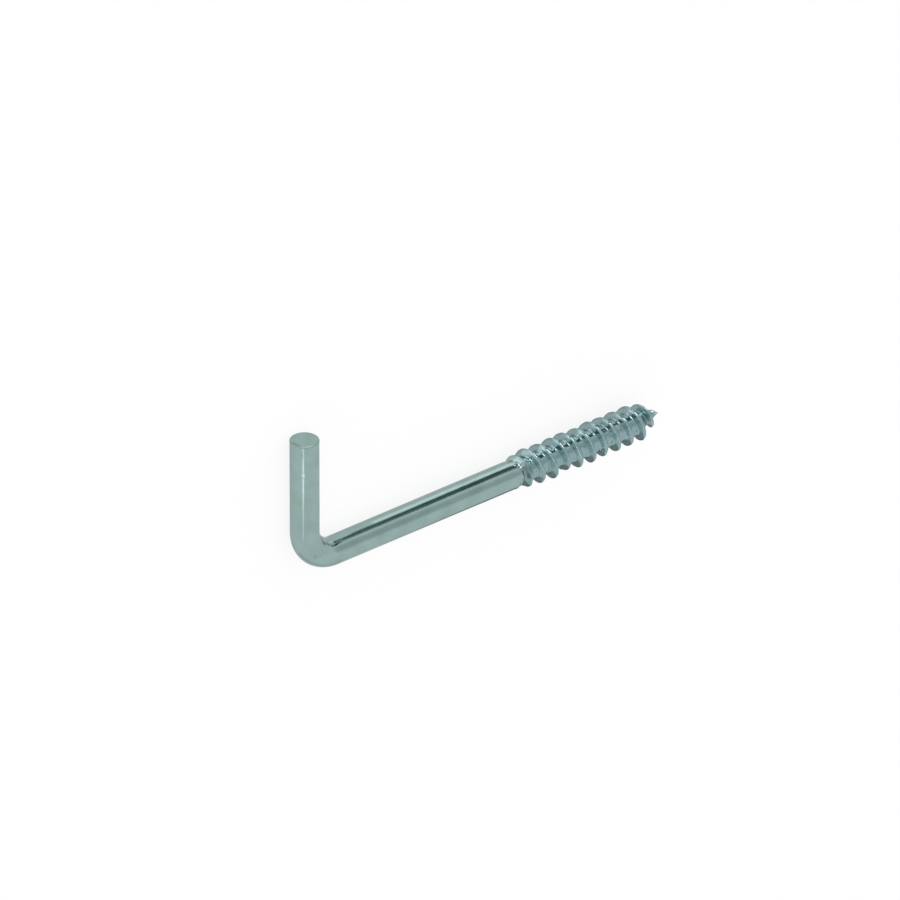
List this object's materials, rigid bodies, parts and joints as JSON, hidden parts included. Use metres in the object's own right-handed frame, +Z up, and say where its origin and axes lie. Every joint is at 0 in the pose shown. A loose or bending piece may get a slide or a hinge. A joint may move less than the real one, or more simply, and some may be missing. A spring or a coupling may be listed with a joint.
{
  "type": "screw-in hinge pin",
  "caption": "L-shaped steel wire part: a plain round pin for a strap hinge to turn on, and a shank with a coarse wood thread and gimlet point that screws into a post.",
  "frame": {"origin": "on the pin's middle line, where the straight pin leaves the bend", "axes": "+Y along the pin towards its free end; +X along the shank towards the point, which rises 0.9 degrees from +X; +Z up from the surface that the piece lies on"},
  "size_m": [0.126, 0.0432, 0.011],
  "materials": {
    "zinc_plated_steel": "bright zinc plating with a faint blue-green passivation, on smooth drawn wire"
  },
  "bodies": {
    "root": {"screw_in_hinge_pin": "zinc_plated_steel"}
  },
  "joints": []
}
